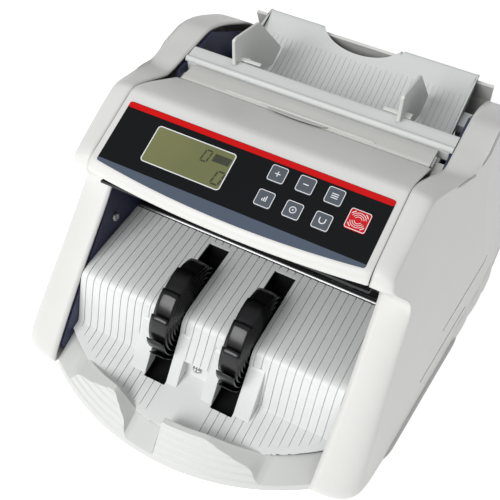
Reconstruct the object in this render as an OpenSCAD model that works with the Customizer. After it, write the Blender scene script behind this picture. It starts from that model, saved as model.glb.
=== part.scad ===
// Banknote counting machine, an assembly of separate named parts.
// Units are millimetres. X is the width, +Y is the rear, +Z is up.
// The origin is the middle of the footprint, on the table.

/* [Body] */
// Clear width between the two inner side plates
throat_w = 194.6; // [193:0.2:197]
// Width of a side cover beyond the inner side plates
side_w = 50.2; // [49:0.1:55]
// Wall thickness of the moulded covers
wall = 2.5; // [2:0.1:2.8]
// Sheet thickness of the inner side plates
plate_t = 2; // [1.6:0.1:2.2]
// Thickness of the formed guide plates and trays
sheet = 1.5; // [1.2:0.1:1.8]

/* [Note path] */
// Diameter of the running shafts
shaft_d = 6; // [5:0.5:6]
// Radius of the feed rollers
feed_r = 20; // [19:0.2:20]
// Radius of the pick-up rollers
pickup_r = 14; // [12:0.5:14]
// Radius of the stacker wheels over the blades
wheel_r = 35.5; // [33:0.5:35.5]
// Width of one stacker wheel
wheel_w = 14; // [11:0.5:14.5]
// Number of blades on a stacker wheel
blades = 12; // [10:1:13]

/* [Console] */
// Edge length of the square keys
key_w = 10.6; // [9.6:0.2:11]
// Edge length of the large key
start_w = 12.8; // [12:0.2:13.4]
// Height of the keys above the panel
key_rise = 1.2; // [0.8:0.1:1.6]

/* [Fits] */
// Radial clearance of a shaft in its bush
run_fit = 0.05; // [0.03:0.01:0.1]
// Clearance of a sliding part in its slot
slide_fit = 0.15; // [0.1:0.01:0.25]
// Clearance between parts that only sit next to each other
gap = 0.3; // [0.25:0.01:0.4]

/* [Hidden] */
// Depth position of the control panel's lower edge
y_deck = -72;
// Height of the control panel's lower edge
deck_z = 147;
// Slope of the control panel in degrees
deck_tilt = 18;
// Overall width over the side covers
body_w = throat_w + 2 * side_w;
// Width of the console between the two side covers
console_w = throat_w - 10.6;
// Size of the control panel overlay
panel_w = console_w - 8;
panel_h = 43.2;
panel_t = 0.8;
// Inner faces of the side plates and the outer faces
plate_in = throat_w / 2;
plate_out = plate_in + plate_t;
// Inner edges of the side covers at the console, cheeks and hopper
seam_x = console_w / 2 + 0.6;
cheek_x = plate_in + 0.5;
pan_x = plate_in;
shoulder_x = plate_out + 0.2;
// Side wall: position at the reference depth, taper in plan, lean
wall_ref = 38;
wall_turn = 130;
wall_taper = 0.1;
wall_lean = 0.21;
wall_x = body_w / 2 - wall_taper * (wall_turn - wall_ref) + wall_lean * 3;
// Axes of the machine as [depth from the panel edge, height]
stacker_axis = [-15, 46];
feed_axis = [110, 80];
pickup_axis = [146, 74];
retard_axis = [112, 111.5];
motor_axis = [150, 35];
rail_axis = [141.5, 123];
rocker_axis = [234.8, 30];
// Centres of the paired wheels and rollers across the width
wheel_x = 25.6;
roller_x = 22;
roller_w = 24;
// Bushes of the shafts
bush_r = shaft_d / 2 + 2;
bush_flange_r = bush_r + 2;
press = 0.02;
// Pulley radii, belt planes and belt sizes
motor_pulley_r = 8;
feed_large_r = 16;
feed_small_r = 6;
stacker_pulley_r = 10;
pickup_pulley_r = 9;
belt_w = 5;
belt_t = 1.2;
rim_w = 0.8;
rim_h = 2;
pulley_w = belt_w + 2 * (rim_w + gap);
drive_x = plate_out + 3;
motor_x = drive_x + pulley_w + 1;
// Places of the keys on the panel as [across, up], counted from its ends
key_end = panel_w / 2;
keys = [[key_end - 68.9, 32.1], [key_end - 51, 32.2], [key_end - 32.9, 32],
  [key_end - 69.2, 15.1], [key_end - 51.2, 15], [key_end - 33.2, 15.2]];
start_key_at = [key_end - 15, 23.4];
// Display window on the panel
lcd_at = [26.2 - key_end, 9.9];
lcd_size = [52.5, 24.1];
// Middle of the feet, off the middle of the machine
foot_x = plate_in - 13.3;
// Inner face and thickness of the legs of the handle
leg_x = plate_in - 8.7;
leg_t = 2.8;
// Radii of the curved front, about a point behind the panel edge
front_y = 74;
front_r = 175;
fence_top_r = front_r - 17;
fence_in_r = front_r - 20;

// Edge of a side cover next to the machine: [depth, height, distance from the middle]
cover_inner = [[-72, 3, cheek_x], [-73, 10, cheek_x], [-50, 34.1, cheek_x],
  [-27, 57.7, cheek_x], [17.5, 103.3, cheek_x], [19, 112, cheek_x], [10, 120, cheek_x - 3],
  [-1, 124, seam_x], [-6, 131, seam_x], [-5, 138.5, seam_x], [0, 147.5, seam_x],
  [25, 155.2, seam_x], [48, 162.8, seam_x], [54, 162, seam_x], [66, 156, seam_x],
  [95, 138, seam_x], [104, 134, shoulder_x], [121, 134, shoulder_x],
  [130, 133.5, shoulder_x], [166, 133.5, shoulder_x], [245, 84, shoulder_x],
  [245, 3, shoulder_x], [130, 3, shoulder_x]];
// Edge of a side cover at the outer wall: [depth, height]
cover_outer = [[-49, 3], [-47.5, 14], [-35, 31.5], [-15, 57.5], [10, 92], [13.8, 101],
  [11.5, 112], [4.4, 124.6], [0.5, 133], [0.5, 137.5], [0.7, 140.4], [25.3, 152.7],
  [46, 158], [52, 158], [66, 153], [95.5, 141], [104, 136.5], [114, 134], [130, 134.8],
  [161, 136], [245, 82], [245, 3], [130, 3]];
// Index of the edge point where the outer wall turns
turn_at = 18;
// Outline of the console shell
console_outline = [[-1, 124], [-6, 131], [-5, 138.5], [0, 147.5], [48, 162.8], [54, 162],
  [66, 156], [95, 138], [100, 135], [100, 127.5]];
// Outline of an inner side plate
plate_outline = [[-62, 8], [-62, 16], [14, 91], [25, 106], [30, 118], [44, 118],
  [60, 124], [104, 124], [112, 130], [160, 130], [225, 88], [225, 8]];

// Which part to show

// Depth measured from the panel edge, turned into the part's own Y
function fy(d) = d + y_deck;

// A side profile moved into the part's own Y
function at_y(points) = [for (p = points) [fy(p[0]), p[1]]];

// Unit vector
function unit(v) = v / norm(v);

// Left-hand normal of the step from one point to the next
function side_of(a, b) = let (u = unit(b - a)) [-u[1], u[0]];

// A closed profile moved inwards by a distance; the profile runs clockwise
function inset(points, d) = [for (i = [0 : len(points) - 1])
  let (n = len(points))
  let (a = side_of(points[(i + n - 1) % n], points[i]))
  let (b = side_of(points[i], points[(i + 1) % n]))
  points[i] - d * (a + b) / (1 + a * b)];

// A profile extruded across the width
module prism_x(points, x0, x1) {
  translate([x0, 0, 0])
    rotate([90, 0, 90])
      linear_extrude(x1 - x0)
        polygon(at_y(points));
}

// A round bar across the width
module rod_x(axis, x0, x1, r) {
  translate([x0, fy(axis[0]), axis[1]])
    rotate([0, 90, 0])
      cylinder(h = x1 - x0, r = r, $fn = 48);
}

// A round tube across the width
module tube_x(axis, x0, x1, r, bore_r) {
  difference() {
    rod_x(axis, x0, x1, r);
    rod_x(axis, x0 - 1, x1 + 1, bore_r);
  }
}

// A box given by its two corners, with depth measured from the panel edge
module box(a, b) {
  translate([a[0], fy(a[1]), a[2]])
    cube([b[0] - a[0], b[1] - a[1], b[2] - a[2]]);
}

// The same shape on the left and on the right
module both_sides() {
  children();
  mirror([1, 0, 0])
    children();
}

// Children placed on the sloping deck: X across, Y up the slope, Z out of it
module on_deck() {
  translate([0, fy(0), deck_z])
    rotate([deck_tilt, 0, 0])
      children();
}

// A flat strip that follows a line, seen from the side
module strip_x(line, t, x0, x1) {
  under = [for (i = [len(line) - 1 : -1 : 0])
    let (a = side_of(line[max(i - 1, 0)], line[max(i, 1)]))
    let (b = side_of(line[min(i, len(line) - 2)], line[min(i + 1, len(line) - 1)]))
    line[i] - t * (a + b) / (1 + a * b)];
  prism_x(concat(line, under), x0, x1);
}

// A pulley with two rims
module pulley(axis, x0, r, bore_r) {
  difference() {
    union() {
      rod_x(axis, x0, x0 + pulley_w, r);
      rod_x(axis, x0, x0 + rim_w, r + rim_h);
      rod_x(axis, x0 + pulley_w - rim_w, x0 + pulley_w, r + rim_h);
    }
    rod_x(axis, x0 - 1, x0 + pulley_w + 1, bore_r);
  }
}

// The outline of a belt around two pulleys, grown by a distance
module belt_outline(a, ra, b, rb, grow) {
  hull() {
    translate([fy(a[0]), a[1]])
      circle(r = ra + grow, $fn = 32);
    translate([fy(b[0]), b[1]])
      circle(r = rb + grow, $fn = 32);
  }
}

// A flat belt around two pulleys
module belt(a, ra, b, rb, x0) {
  translate([x0 + rim_w + gap, 0, 0])
    rotate([90, 0, 90])
      linear_extrude(belt_w)
        difference() {
          belt_outline(a, ra, b, rb, gap + belt_t);
          belt_outline(a, ra, b, rb, gap);
        }
}

// Where a point of the outer edge meets the leaning side wall
function wall_at(p, d) =
  wall_x + wall_taper * (min(p[0], wall_turn) - wall_ref) - wall_lean * p[1] - d;

// Rows of points from the inner edge of a side cover to its outer wall
function cover_rows(inner, outer, steps, d) = [for (s = steps)
  for (i = [0 : len(inner) - 1])
    let (p = inner[i] + (outer[i] - inner[i]) * s[1])
    let (x = cover_inner[i][2])
    [x + (wall_at(outer[i], d) - x) * s[0], fy(p[0]), p[1]]];

// A hollow side cover on the right, open towards the machine
module side_cover() {
  steps = [[0, 0], [0.5, 0.15], [0.75, 0.4], [0.9, 0.7], [1, 1]];
  edge = [for (p = cover_inner) [p[0], p[1]]];
  count = len(edge);
  last = (len(steps) - 1) * count;
  shift = len(steps) * count;
  points = concat(cover_rows(edge, cover_outer, steps, 0),
    cover_rows(inset(edge, wall), inset(cover_outer, wall), steps, wall));
  skin = [for (k = [0 : len(steps) - 2])
    for (i = [0 : count - 1])
      for (half = [0, 1])
        let (a = k * count + i)
        let (b = k * count + (i + 1) % count)
        half == 0 ? [a, b, b + count] : [a, b + count, a + count]];
  caps = [[for (i = concat([for (k = [0 : turn_at]) k], [count - 1])) last + i],
    [for (i = [turn_at : count - 1]) last + i]];
  outside = concat(skin, caps);
  inside = [for (f = outside) [for (i = [len(f) - 1 : -1 : 0]) f[i] + shift]];
  rim = [for (i = [0 : count - 1])
    for (half = [0, 1])
      let (b = (i + 1) % count)
      half == 0 ? [b, i, i + shift] : [b, i + shift, b + shift]];
  polyhedron(points = points, faces = concat(outside, inside, rim), convexity = 8);
}

module right_cover() {
  color("gainsboro")
    side_cover();
}

module left_cover() {
  color("gainsboro")
    mirror([1, 0, 0])
      side_cover();
}

// Floor of the machine with a low front edge under the fence
module base_pan() {
  color("dimgray")
    difference() {
      union() {
        intersection() {
          translate([0, fy(front_y), 4])
            cylinder(h = 4, r = front_r - 8, $fn = 96);
          box([-pan_x, -110, 0], [pan_x, 0, 10]);
        }
        box([-pan_x, -20, 4], [pan_x, 239, 8]);
        for (x = [-70, 58])
          for (y = [54, 112])
            translate([x, fy(y), 7])
              cylinder(h = 9, r = 3.5, $fn = 24);
      }
      foot_places(3, 4);
    }
}

// Holes or plugs at the four feet
module foot_places(r, h) {
  for (x = [-foot_x, foot_x])
    for (y = [-25, 215])
      translate([x, fy(y), 4])
        cylinder(h = h + 1, r = r, $fn = 32);
}

module rubber_feet() {
  color("black") {
    foot_places(3 - press, 2);
    for (x = [-foot_x, foot_x])
      for (y = [-25, 215])
        translate([x, fy(y), 0])
          cylinder(h = 4, r1 = 9, r2 = 10, $fn = 48);
  }
}

// Console shell: the panel deck, the lip over the tray and the rear slope
module console_shell() {
  half = console_w / 2;
  color("whitesmoke") {
    difference() {
      prism_x(console_outline, -half, half);
      prism_x(inset(console_outline, wall), -half + wall, half - wall);
      prism_x([[4, 120], [1, 127], [97.5, 129.5], [97.5, 120]], -half + wall, half - wall);
      on_deck() {
        translate([-panel_w / 2, 0.4, -panel_t])
          cube([panel_w, panel_h, 3]);
        key_holes(-wall - 2, slide_fit);
        translate([lcd_at[0] - 1, lcd_at[1] - 1, -wall - 2])
          cube([lcd_size[0] + 2, lcd_size[1] + 2, 6]);
      }
    }
    on_deck()
      for (p = [[8 - key_end, 4], [8 - key_end, 38], [5, 4], [key_end - 6, 4], [key_end - 6, 38]])
        translate([p[0], p[1], -7.4])
          cylinder(h = 7.4 - wall + 1, r = 2, $fn = 24);
  }
}

// Openings for all the keys, from a given depth upwards
module key_holes(z0, d) {
  for (p = keys)
    translate([p[0] - key_w / 2 - d, p[1] - key_w / 2 - d, z0])
      cube([key_w + 2 * d, key_w + 2 * d, 8]);
  translate([start_key_at[0] - start_w / 2 - d, start_key_at[1] - start_w / 2 - d, z0])
    cube([start_w + 2 * d, start_w + 2 * d, 8]);
}

module control_panel() {
  color([0.06, 0.06, 0.07])
    on_deck()
      difference() {
        translate([-panel_w / 2 + 0.1, 0.5, -panel_t])
          cube([panel_w - 0.2, panel_h - 0.2, panel_t]);
        key_holes(-wall, slide_fit);
        translate([lcd_at[0], lcd_at[1], -wall])
          cube([lcd_size[0], lcd_size[1], 6]);
      }
}

module display_module() {
  color("olivedrab")
    on_deck() {
      translate([lcd_at[0] + 0.2, lcd_at[1] + 0.2, -5])
        cube([lcd_size[0] - 0.4, lcd_size[1] - 0.4, 4.8]);
      translate([lcd_at[0] - 2, lcd_at[1] - 2, -7.4])
        cube([lcd_size[0] + 4, lcd_size[1] + 4, 7.4 - wall - 0.3]);
    }
}

// A key cap with its flange under the deck
module key_cap(p, w) {
  on_deck() {
    translate([p[0] - w / 2, p[1] - w / 2, -wall - gap - 0.1])
      cube([w, w, wall + gap + 0.1 + key_rise]);
    translate([p[0] - w / 2 - 1, p[1] - w / 2 - 1, -wall - gap - 1.1])
      cube([w + 2, w + 2, 1.1]);
  }
}

module key_1() {
  color("slategray")
    key_cap(keys[0], key_w);
}

module key_2() {
  color("slategray")
    key_cap(keys[1], key_w);
}

module key_3() {
  color("slategray")
    key_cap(keys[2], key_w);
}

module key_4() {
  color("slategray")
    key_cap(keys[3], key_w);
}

module key_5() {
  color("slategray")
    key_cap(keys[4], key_w);
}

module key_6() {
  color("slategray")
    key_cap(keys[5], key_w);
}

module start_key() {
  color("red")
    key_cap(start_key_at, start_w);
}

module key_board() {
  color("darkgreen")
    on_deck()
      translate([4 - key_end, 1, -9])
        cube([panel_w - 6, 41, 1.6]);
}

// One push switch under each key
module key_switches() {
  color("black")
    on_deck()
      for (p = concat(keys, [start_key_at])) {
        translate([p[0] - 3, p[1] - 3, -7.4])
          cube([6, 6, 1.6]);
        translate([p[0], p[1], -5.9])
          cylinder(h = 0.9, r = 1.6, $fn = 24);
      }
}

// Stack plate: rounded crest, steep front, ramps and the tray floor
module stack_plate() {
  half = plate_in - gap;
  crest = [[42, 56], [-18, 59], [-24, 57.6], [-28.5, 54.4], [-31, 50], [-42, 17.5],
    [-100, 11.6]];
  color("lightgray")
    difference() {
      intersection() {
        union() {
          strip_x(crest, -sheet, -half, half);
          both_sides()
            prism_x([[-31, 47], [-33, 47], [-55, 16.2], [-44, 17.3]], 9, 45.5);
        }
        translate([0, fy(front_y), 0])
          cylinder(h = 100, r = fence_in_r - gap, $fn = 96);
      }
      both_sides()
        box([wheel_x - 8, -56.8, 5], [wheel_x + 8, 37, 70]);
    }
}

// Curved fence that closes the tray at the front
module front_fence() {
  top = [[-plate_in, 2], [-plate_in, 12.5], [-80, 12.5], [-41, 27], [-24, 12], [-2, 12],
    [0, 27.5], [28, 28], [68, 12.5], [plate_in, 12.5], [plate_in, 2]];
  color("lightgray")
    difference() {
      intersection() {
        translate([0, fy(front_y), 3])
          cylinder(h = 25, r1 = front_r, r2 = fence_top_r, $fn = 128);
        translate([0, fy(0), 0])
          rotate([90, 0, 0])
            linear_extrude(110)
              polygon(top);
      }
      translate([0, fy(front_y), 0])
        cylinder(h = 60, r = fence_in_r, $fn = 128);
      translate([0, fy(front_y), 0])
        cylinder(h = 8 + press, r = front_r - 8 + press, $fn = 96);
    }
}

// An inner side plate with bores for bushes, rods and the motor shaft
module side_plate(x0, x1) {
  difference() {
    union() {
      prism_x(plate_outline, x0, x1);
      prism_x([[40, 8], [40, 8 + plate_t], [225, 8 + plate_t], [225, 8]],
        min(x0, plate_in - 9), max(x1, 9 - plate_in));
    }
    for (a = [stacker_axis, feed_axis, pickup_axis])
      rod_x(a, x0 - 1, x1 + 1, bush_r + press);
    rod_x(rail_axis, x0 - 1, x1 + 1, 2.5 + press);
    rod_x(motor_axis, x0 - 1, x1 + 1, 7);
    for (a = tie_axes)
      rod_x(a, x0 - 1, x1 + 1, 2.1);
  }
}

// Places of the tie rods
tie_axes = [[46, 53], [70, 112], [205, 60], [20, 14]];

module left_plate() {
  color("midnightblue")
    side_plate(-plate_out, -plate_in);
}

module right_plate() {
  color("midnightblue")
    side_plate(plate_in, plate_out);
}

// Flanged bushes pressed into the side plates
module bushes() {
  color("goldenrod")
    both_sides()
      for (a = [stacker_axis, feed_axis, pickup_axis])
        difference() {
          union() {
            rod_x(a, plate_in, plate_out, bush_r);
            rod_x(a, plate_out, plate_out + 1.5, bush_flange_r);
          }
          rod_x(a, plate_in - 1, plate_out + 3, shaft_d / 2 + run_fit);
        }
}

module tie_rods() {
  color("silver")
    for (a = tie_axes)
      rod_x(a, -plate_in, plate_in, 3);
}

module plate_screws() {
  color("silver")
    both_sides()
      for (a = tie_axes) {
        rod_x(a, plate_in, plate_out, 2);
        rod_x(a, plate_out, plate_out + 2.2, 3.6);
      }
}

module stacker_shaft() {
  color("silver")
    rod_x(stacker_axis, -plate_out - 2.5, drive_x + pulley_w, shaft_d / 2);
}

// Hubs with thin blades that all curve the same way
module stacker_wheels() {
  tip = wheel_r;
  color([0.1, 0.1, 0.11])
    for (side = [-1, 1])
      translate([side * wheel_x - wheel_w / 2, fy(stacker_axis[0]), stacker_axis[1]])
        rotate([90, 0, 90])
          linear_extrude(wheel_w)
            difference() {
              union() {
                circle(r = 11, $fn = 48);
                for (k = [0 : blades - 1])
                  rotate(k * 360 / blades)
                    blade(10, tip);
              }
              circle(r = shaft_d / 2 + press, $fn = 48);
            }
}

// One curved blade in the plane of the wheel
module blade(r0, r1) {
  sweep = 225;
  steps = 16;
  outer = [for (i = [0 : steps])
    let (r = r0 + (r1 - r0) * i / steps)
    let (a = sweep * i / steps)
    [r * cos(a), -r * sin(a)]];
  inner = [for (i = [steps : -1 : 0])
    let (r = r0 + (r1 - r0) * i / steps - 0.8)
    let (a = sweep * i / steps + 2)
    [r * cos(a), -r * sin(a)]];
  polygon(concat(outer, inner));
}

module stacker_pulley() {
  color("white")
    pulley(stacker_axis, drive_x, stacker_pulley_r, shaft_d / 2 + press);
}

module feed_shaft() {
  color("silver")
    rod_x(feed_axis, -drive_x - pulley_w, motor_x + pulley_w, shaft_d / 2);
}

// A pair of rollers pressed on a shaft
module roller_pair(axis, r) {
  for (side = [-1, 1])
    tube_x(axis, side * roller_x - roller_w / 2, side * roller_x + roller_w / 2, r,
      shaft_d / 2 + press);
}

module feed_rollers() {
  color([0.15, 0.15, 0.16])
    roller_pair(feed_axis, feed_r);
}

module feed_pulleys() {
  color("white") {
    pulley(feed_axis, drive_x, feed_small_r, shaft_d / 2 + press);
    pulley(feed_axis, motor_x, feed_large_r, shaft_d / 2 + press);
    pulley(feed_axis, -drive_x - pulley_w, pickup_pulley_r, shaft_d / 2 + press);
  }
}

module pickup_shaft() {
  color("silver")
    rod_x(pickup_axis, -drive_x - pulley_w, plate_out + 2.5, shaft_d / 2);
}

module pickup_rollers() {
  color([0.15, 0.15, 0.16])
    roller_pair(pickup_axis, pickup_r);
}

module pickup_pulley() {
  color("white")
    pulley(pickup_axis, -drive_x - pulley_w, pickup_pulley_r, shaft_d / 2 + press);
}

// Friction roller that holds back all but one note; it does not turn
module retard_roller() {
  color("tan")
    tube_x(retard_axis, -12, 12, 11, 3 + press);
}

// Forked bracket that carries the retard roller under the hopper wall
module retard_bracket() {
  color("silver") {
    rod_x(retard_axis, -16, 16, 3);
    both_sides()
      prism_x([[107, 106], [107, 117], [112, 124], [134.3, 124], [134.3, 119], [118, 106]],
        13, 16);
    prism_x([[124.5, 121], [124.5, 124], [134.3, 124], [134.3, 121]], -16, 16);
  }
}

module lower_guide() {
  half = plate_in - gap;
  color("silver")
    strip_x([[52, 57.5], [72, 62], [90, 68.5], [92.5, 66]], sheet, -half, half);
}

module upper_guide() {
  front_half = console_w / 2 - gap;
  half = plate_in - gap;
  color("dimgray") {
    strip_x([[3, 121], [26, 112], [30, 107.7]], -sheet, -front_half, front_half);
    strip_x([[26, 112], [52, 84], [66, 79.5], [84, 94], [96, 106], [98, 118]],
      -sheet, -half, half);
  }
}

// Bar with the counting sensors across the note path
module sensor_bar() {
  color("black") {
    box([-70, 56, 85.3], [70, 68, 92]);
    for (x = [-50, 0, 50])
      box([x - 5, 59, 92], [x + 5, 67, 98]);
  }
}

// Shelf behind the handle that forms the front wall of the hopper
module hopper_wall() {
  top_half = plate_out - 0.2;
  low_half = plate_in - gap;
  color("lightgray") {
    prism_x([[121.5, 130.4], [121.5, 132.6], [123, 134], [135, 134], [137, 132.5],
      [137, 130.4]], -top_half, top_half);
    prism_x([[121.5, 124], [121.5, 130.4], [137, 130.4], [137, 116], [134.5, 116],
      [134.5, 124]], -low_half, low_half);
  }
}

// Rear tray of the hopper: a curved chute that the notes lean on
module hopper_tray() {
  half = plate_in - 8;
  chute = [[236, 104], [235.6, 106.6], [231.4, 107.5], [225, 102.6], [213, 95.2],
    [200, 89.6], [186, 85.4], [170, 82.4], [152, 80.4]];
  color("lightgray")
    difference() {
      union() {
        strip_x(chute, -sheet, -half, half);
        both_sides()
          prism_x([[231.4, 107.5], [213, 106], [172, 92], [152, 84], [152, 79], [170, 81],
            [200, 88], [225, 101]], half - sheet, half);
        both_sides()
          box([half - sheet, 196, 83], [plate_in - 0.1, 212, 89.4]);
      }
      both_sides()
        box([roller_x - roller_w / 2 - 1, 140, 60],
          [roller_x + roller_w / 2 + 1, 164, 100]);
      translate([-6.5, fy(263.4), 90])
        cylinder(h = 30, r = 43.1, $fn = 96);
    }
}

module guide_rail() {
  color("silver")
    rod_x(rail_axis, -plate_out, plate_out, 2.5);
}

// A note guide that slides along the rail
module note_guide(x) {
  difference() {
    union() {
      prism_x([[139, 131], [139, 135], [130, 135], [130, 155], [167, 146], [205, 99],
        [190, 91.5], [152, 106]], x - 1, x + 1);
      rod_x(rail_axis, x - 6, x + 6, 4.3);
      prism_x([[138.6, 123], [138.6, 137], [144, 137], [144, 123]], x - 6, x + 6);
    }
    rod_x(rail_axis, x - 7, x + 7, 2.5 + run_fit);
  }
}

module left_guide() {
  color("gainsboro")
    note_guide(-64);
}

module right_guide() {
  color("gainsboro")
    note_guide(58);
}

// Carrying handle: a plate with a thumb lip on two sliding legs
module handle() {
  color("tan") {
    prism_x([[102, 129.5], [102, 132.6], [103.5, 133.6], [119.5, 132.2], [119.5, 129.5]],
      7.3 - plate_in, plate_in - 7.3);
    both_sides()
      box([leg_x, 105, 88], [leg_x + leg_t, 115, 130.5]);
  }
}

// Brackets on the side plates that hold the legs of the handle
module handle_brackets() {
  color("whitesmoke")
    both_sides()
      difference() {
        box([leg_x - 2.6, 102.5, 100], [plate_in, 117.5, 124]);
        box([leg_x - slide_fit, 105 - slide_fit, 90],
          [leg_x + leg_t + slide_fit, 115 + slide_fit, 130]);
      }
}

module motor() {
  color("dimgray")
    difference() {
      union() {
        rod_x(motor_axis, 30, plate_in - 2, 20);
        rod_x(motor_axis, plate_in - 2, plate_in, 23);
        rod_x(motor_axis, plate_in, plate_out, 6);
        prism_x([[134, 8], [134, 20], [166, 20], [166, 8]], 40, 80);
      }
      rod_x(motor_axis, 60, plate_out + 2, 2.5 + run_fit);
    }
}

module motor_rotor() {
  color("silver") {
    rod_x(motor_axis, 61, motor_x + pulley_w, 2.5);
    pulley(motor_axis, motor_x, motor_pulley_r, 2);
  }
}

module drive_belts() {
  color("black") {
    belt(motor_axis, motor_pulley_r, feed_axis, feed_large_r, motor_x);
    belt(feed_axis, feed_small_r, stacker_axis, stacker_pulley_r, drive_x);
    belt(feed_axis, pickup_pulley_r, pickup_axis, pickup_pulley_r, -drive_x - pulley_w);
  }
}

// Main board on the four posts of the base pan
module main_board() {
  color("darkgreen")
    box([-76, 48, 16], [64, 118, 17.6]);
  color("black") {
    box([-60, 60, 17.6], [-36, 84, 20]);
    box([-20, 56, 17.6], [10, 66, 27]);
    box([20, 90, 17.6], [50, 110, 24]);
  }
}

module transformer() {
  color("dimgray") {
    box([-62, 182, 8], [-14, 222, 50]);
    box([-70, 190, 8], [-6, 214, 10]);
  }
}

module rear_cover() {
  color("gainsboro")
    difference() {
      prism_x([[239.5, 4], [239.5, 83], [233.2, 101], [235.4, 102], [242, 84.6], [242, 4]],
        -shoulder_x + 0.3, shoulder_x - 0.3);
      box([-84 - slide_fit, 230, 20 - slide_fit], [-56 + slide_fit, 250, 40 + slide_fit]);
      box([-46 - slide_fit, 230, 22 - slide_fit], [-24 + slide_fit, 250, 38 + slide_fit]);
      for (k = [0 : 7])
        box([20 + 8 * k, 230, 24], [24 + 8 * k, 250, 54]);
    }
}

module mains_inlet() {
  color("black")
    difference() {
      union() {
        box([-84, 224, 20], [-56, 242, 40]);
        box([-87, 242, 17], [-53, 244, 43]);
      }
      box([-82, 228, 22], [-58, 250, 38]);
    }
}

// Housing of the power switch
module switch_body() {
  color("black")
    difference() {
      union() {
        box([-46, 222, 22], [-24, 242, 38]);
        box([-48, 242, 20], [-22, 243.4, 40]);
      }
      box([-44.5, 225, 23.5], [-25.5, 250, 36.5]);
    }
  color("silver")
    rod_x(rocker_axis, -44.5, -25.5, 1.2);
}

// Rocker that tips about a pin, built in its off position
module power_rocker() {
  color("darkred")
    difference() {
      prism_x([[231, 25.5], [231, 34.5], [240, 35], [243.6, 34.8], [242, 30],
        [243, 24.6], [240, 24.5]], -44, -26);
      rod_x(rocker_axis, -47, -23, 1.2 + run_fit);
    }
}

// Screws of the covers: two in the rear cover, one in the pocket of the plate
module cover_screws() {
  color("silver") {
    for (x = [7.5 - shoulder_x, shoulder_x - 7.5])
      for (z = [14, 74])
        translate([x, fy(242), z])
          rotate([-90, 0, 0])
            cylinder(h = 1.6, r = 3, $fn = 32);
    for (a = [[16.5, 70.6]])
      both_sides()
        rod_x(a, plate_in - 2, plate_in, 3.4);
  }
}

base_pan();
rubber_feet();
left_cover();
right_cover();
console_shell();
rear_cover();
front_fence();
cover_screws();
control_panel();
display_module();
key_1();
key_2();
key_3();
key_4();
key_5();
key_6();
start_key();
key_board();
key_switches();
stack_plate();
stacker_shaft();
stacker_wheels();
stacker_pulley();
left_plate();
right_plate();
bushes();
tie_rods();
plate_screws();
feed_shaft();
feed_rollers();
feed_pulleys();
retard_roller();
retard_bracket();
pickup_shaft();
pickup_rollers();
pickup_pulley();
lower_guide();
upper_guide();
sensor_bar();
hopper_wall();
hopper_tray();
guide_rail();
left_guide();
right_guide();
handle();
handle_brackets();
motor();
motor_rotor();
drive_belts();
main_board();
transformer();
mains_inlet();
switch_body();
power_rocker();
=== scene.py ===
"""Banknote counting machine: the finished looks of every piece, put together from the base up."""

import bmesh
import bpy
import numpy as np
from mathutils import Matrix, Vector
from mathutils.geometry import delaunay_2d_cdt


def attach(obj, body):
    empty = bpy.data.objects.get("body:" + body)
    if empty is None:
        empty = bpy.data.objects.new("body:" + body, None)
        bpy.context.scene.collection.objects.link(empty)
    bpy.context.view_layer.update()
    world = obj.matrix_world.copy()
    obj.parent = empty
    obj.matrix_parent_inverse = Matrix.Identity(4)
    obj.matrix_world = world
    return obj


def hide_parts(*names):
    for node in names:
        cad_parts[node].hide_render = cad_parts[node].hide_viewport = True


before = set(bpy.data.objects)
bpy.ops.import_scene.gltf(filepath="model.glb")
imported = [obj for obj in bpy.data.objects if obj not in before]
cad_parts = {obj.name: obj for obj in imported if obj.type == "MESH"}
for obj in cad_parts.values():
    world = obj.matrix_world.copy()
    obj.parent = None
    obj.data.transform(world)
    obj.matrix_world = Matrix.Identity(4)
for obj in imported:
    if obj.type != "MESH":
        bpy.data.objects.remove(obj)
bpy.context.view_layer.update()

# ---- Camera -----------------------------------------------------------------
# A normal lens in front of the machine, above its right-hand half, that looks
# down to the back and the left.
look = Vector((-0.2815, 0.5457, -0.7893)).normalized()
across = Vector((0.8852, 0.4652, 0.0060)).normalized()
upward = across.cross(look).normalized()
camera = bpy.data.objects.new("camera", bpy.data.cameras.new("camera"))
bpy.context.scene.collection.objects.link(camera)
camera.data.sensor_width = 36
camera.data.lens = 57.34
camera.data.clip_start = 0.01
camera.matrix_world = Matrix((
    (across.x, upward.x, -look.x, 0.1503),
    (across.y, upward.y, -look.y, -0.3304),
    (across.z, upward.z, -look.z, 0.4939),
    (0, 0, 0, 1),
))
bpy.context.scene.camera = camera

# ---- Floor and light ----------------------------------------------------------
# A pale matt table that glows a little, in a pale room. Two large soft lamps light the
# machine: a strong one from the front and a weak one from above, behind it.
bpy.context.scene.view_settings.view_transform = "Standard"
TABLE_HALF = 4  # metres
table = bpy.data.meshes.new("table")
table.from_pydata([(TABLE_HALF * a, TABLE_HALF * b, 0) for a, b in ((-1, -1), (1, -1), (1, 1), (-1, 1))],
                  [], [(0, 1, 2, 3)])
floor = bpy.data.objects.new("table", table)
bpy.context.scene.collection.objects.link(floor)
paper = bpy.data.materials.new("pale_table")
paper.use_nodes = True
matt = paper.node_tree.nodes["Principled BSDF"]
matt.inputs["Base Color"].default_value = (0.93, 0.93, 0.93, 1)
matt.inputs["Roughness"].default_value = 0.9
matt.inputs["Emission Color"].default_value = (1, 1, 1, 1)
matt.inputs["Emission Strength"].default_value = 0.5
table.materials.append(paper)
world = bpy.data.worlds.new("room")
bpy.context.scene.world = world
world.use_nodes = True
sky = world.node_tree.nodes["Background"]
sky.inputs["Color"].default_value = (0.95, 0.97, 1, 1)
sky.inputs["Strength"].default_value = 0.31
AIM = Vector((0, 0, 0.08))  # the middle of the machine
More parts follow.
